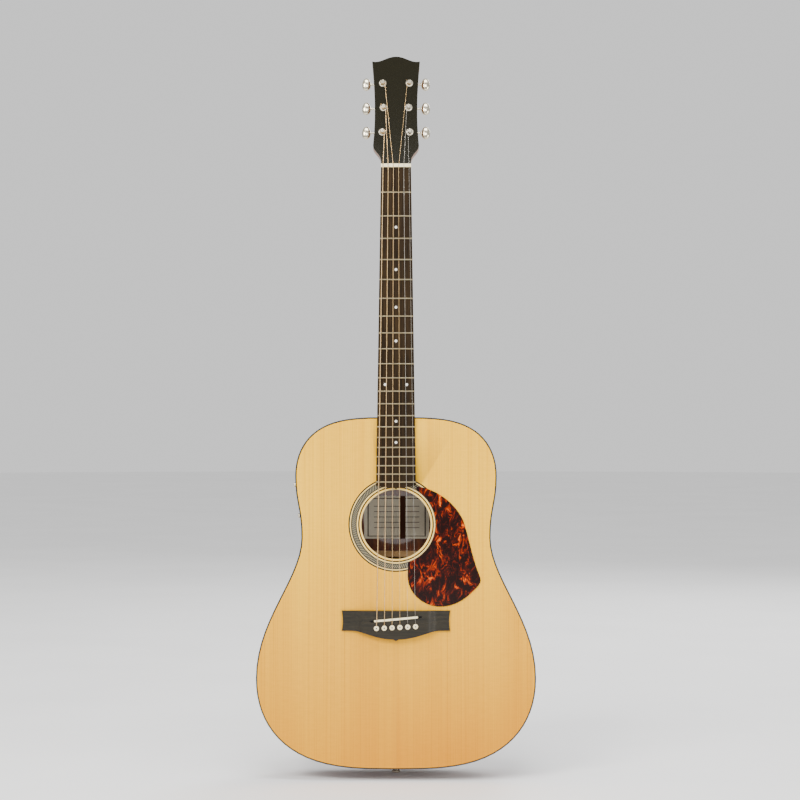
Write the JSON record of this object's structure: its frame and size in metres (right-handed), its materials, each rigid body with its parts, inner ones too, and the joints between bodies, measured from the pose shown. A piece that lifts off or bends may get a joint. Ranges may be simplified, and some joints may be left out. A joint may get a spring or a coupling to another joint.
{
  "type": "acoustic guitar",
  "caption": "Steel-string dreadnought acoustic guitar with a spruce top, tortoise-pattern pickguard, geared tuners, pinned bridge and a side preamp with an end-pin jack.",
  "frame": {"origin": "on the centre line at the nut's lower edge, in the plane where the fingerboard is glued to the neck, behind which the neck hangs in a holder", "axes": "+Z along the neck to the headstock, -Y out of the soundboard towards the listener, +X to the treble side"},
  "size_m": [0.406, 0.133, 1.0518],
  "materials": {
    "spruce_top": "clear gloss over straight-grained pale spruce",
    "mahogany": "clear gloss over red-brown mahogany",
    "block_wood": "raw sawn mahogany and maple",
    "brace_spruce": "raw planed spruce",
    "neck_wood": "satin reddish-tan hardwood",
    "rosewood": "oiled dark open-pored rosewood",
    "black_binding": "buffed black plastic",
    "cream_plastic": "cream inlay under clear gloss",
    "rosette_mosaic": "dark band with pale diagonal checks under clear gloss",
    "tortoise_plastic": "polished dark red tortoise-pattern plastic",
    "label_paper": "matt printed paper",
    "ivory_plastic": "polished ivory-coloured plastic",
    "gloss_black": "thick black gloss lacquer",
    "chrome": "polished plating",
    "nickel_silver": "polished crowned wire",
    "steel": "plain drawn steel",
    "brass": "turned brass",
    "bronze_string": "bronze-wound string",
    "plain_string": "bright plain steel wire",
    "preamp_plastic": "fine-textured black plastic"
  },
  "bodies": {
    "guitar": {"soundboard": "spruce_top", "back": "mahogany", "side_bass": "mahogany", "side_treble": "mahogany", "end_blocks": "block_wood", "top_lining": "brace_spruce", "back_lining": "brace_spruce", "top_binding": "black_binding", "back_binding": "black_binding", "rosette_cream_rings": "cream_plastic", "rosette_black_rings": "black_binding", "rosette_mosaic": "rosette_mosaic", "pickguard": "tortoise_plastic", "x_brace_bass": "brace_spruce", "x_brace_treble": "brace_spruce", "transverse_brace": "brace_spruce", "tone_bars": "brace_spruce", "finger_braces": "brace_spruce", "bridge_plate": "block_wood", "back_braces": "brace_spruce", "back_center_strip": "brace_spruce", "label": "label_paper", "bridge": "rosewood", "saddle": "ivory_plastic", "bridge_pins": "ivory_plastic", "end_pin_jack": "chrome", "neck": "neck_wood", "headstock": "neck_wood", "fingerboard": "rosewood", "frets": "nickel_silver", "position_dots": "ivory_plastic", "nut": "ivory_plastic", "headstock_veneer": "gloss_black", "heel_cap": "black_binding", "truss_rod": "steel", "tuner_housings": "chrome", "tuner_bushings": "chrome", "tuner_screws": "chrome", "preamp": "preamp_plastic", "string_1": "bronze_string", "string_2": "bronze_string", "string_3": "bronze_string", "string_4": "bronze_string", "string_5": "plain_string", "string_6": "plain_string"},
    "tuner_post_1": {"tuner_post_1": "chrome"},
    "tuner_knob_1": {"tuner_knob_1": "chrome"},
    "tuner_post_2": {"tuner_post_2": "chrome"},
    "tuner_knob_2": {"tuner_knob_2": "chrome"},
    "tuner_post_3": {"tuner_post_3": "chrome"},
    "tuner_knob_3": {"tuner_knob_3": "chrome"},
    "tuner_post_4": {"tuner_post_4": "chrome"},
    "tuner_knob_4": {"tuner_knob_4": "chrome"},
    "tuner_post_5": {"tuner_post_5": "chrome"},
    "tuner_knob_5": {"tuner_knob_5": "chrome"},
    "tuner_post_6": {"tuner_post_6": "chrome"},
    "tuner_knob_6": {"tuner_knob_6": "chrome"},
    "truss_rod_nut": {"truss_rod_nut": "brass"},
    "preamp_knob_volume": {"preamp_knob_volume": "chrome"},
    "preamp_knob_tone": {"preamp_knob_tone": "chrome"}
  },
  "joints": [
    {"name": "tuner_post_turn_1", "type": "hinge", "parent": "guitar", "child": "tuner_post_1", "pos_m": [-0.02, 0.01183, 0.05245], "axis": [0, -0.9703, 0.2419], "continuous": true},
    {"name": "tuner_knob_turn_1", "type": "hinge", "parent": "guitar", "child": "tuner_knob_1", "pos_m": [-0.02, 0.03225, 0.05375], "axis": [-1, 0, 0], "continuous": true},
    {"name": "tuner_post_turn_2", "type": "hinge", "parent": "guitar", "child": "tuner_post_2", "pos_m": [-0.0184, 0.02098, 0.08912], "axis": [0, -0.9703, 0.2419], "continuous": true},
    {"name": "tuner_knob_turn_2", "type": "hinge", "parent": "guitar", "child": "tuner_knob_2", "pos_m": [-0.0184, 0.0414, 0.09042], "axis": [-1, 0, 0], "continuous": true},
    {"name": "tuner_post_turn_3", "type": "hinge", "parent": "guitar", "child": "tuner_post_3", "pos_m": [-0.0194, 0.03014, 0.1259], "axis": [0, -0.9703, 0.2419], "continuous": true},
    {"name": "tuner_knob_turn_3", "type": "hinge", "parent": "guitar", "child": "tuner_knob_3", "pos_m": [-0.0194, 0.05056, 0.1272], "axis": [-1, 0, 0], "continuous": true},
    {"name": "tuner_post_turn_4", "type": "hinge", "parent": "guitar", "child": "tuner_post_4", "pos_m": [0.0194, 0.03014, 0.1259], "axis": [0, -0.9703, 0.2419], "continuous": true},
    {"name": "tuner_knob_turn_4", "type": "hinge", "parent": "guitar", "child": "tuner_knob_4", "pos_m": [0.0194, 0.05056, 0.1272], "axis": [1, 0, 0], "continuous": true},
    {"name": "tuner_post_turn_5", "type": "hinge", "parent": "guitar", "child": "tuner_post_5", "pos_m": [0.0184, 0.02098, 0.08912], "axis": [0, -0.9703, 0.2419], "continuous": true},
    {"name": "tuner_knob_turn_5", "type": "hinge", "parent": "guitar", "child": "tuner_knob_5", "pos_m": [0.0184, 0.0414, 0.09042], "axis": [1, 0, 0], "continuous": true},
    {"name": "tuner_post_turn_6", "type": "hinge", "parent": "guitar", "child": "tuner_post_6", "pos_m": [0.02, 0.01183, 0.05245], "axis": [0, -0.9703, 0.2419], "continuous": true},
    {"name": "tuner_knob_turn_6", "type": "hinge", "parent": "guitar", "child": "tuner_knob_6", "pos_m": [0.02, 0.03225, 0.05375], "axis": [1, 0, 0], "continuous": true},
    {"name": "truss_rod_adjust", "type": "hinge", "parent": "guitar", "child": "truss_rod_nut", "pos_m": [0, 0.0075, -0.42375], "axis": [0, 0, 1], "range_deg": [-360, 360]},
    {"name": "volume_turn", "type": "hinge", "parent": "guitar", "child": "preamp_knob_volume", "pos_m": [-0.14, 0.038, -0.461], "axis": [-1, 0, 0], "range_deg": [-150, 150]},
    {"name": "tone_turn", "type": "hinge", "parent": "guitar", "child": "preamp_knob_tone", "pos_m": [-0.14, 0.038, -0.506], "axis": [-1, 0, 0], "range_deg": [-150, 150]}
  ],
  "couplings": [
    {"joint": "tuner_post_turn_1", "follows": "tuner_knob_turn_1", "ratio": -0.055556},
    {"joint": "tuner_post_turn_2", "follows": "tuner_knob_turn_2", "ratio": -0.055556},
    {"joint": "tuner_post_turn_3", "follows": "tuner_knob_turn_3", "ratio": -0.055556},
    {"joint": "tuner_post_turn_4", "follows": "tuner_knob_turn_4", "ratio": 0.055556},
    {"joint": "tuner_post_turn_5", "follows": "tuner_knob_turn_5", "ratio": 0.055556},
    {"joint": "tuner_post_turn_6", "follows": "tuner_knob_turn_6", "ratio": 0.055556}
  ]
}
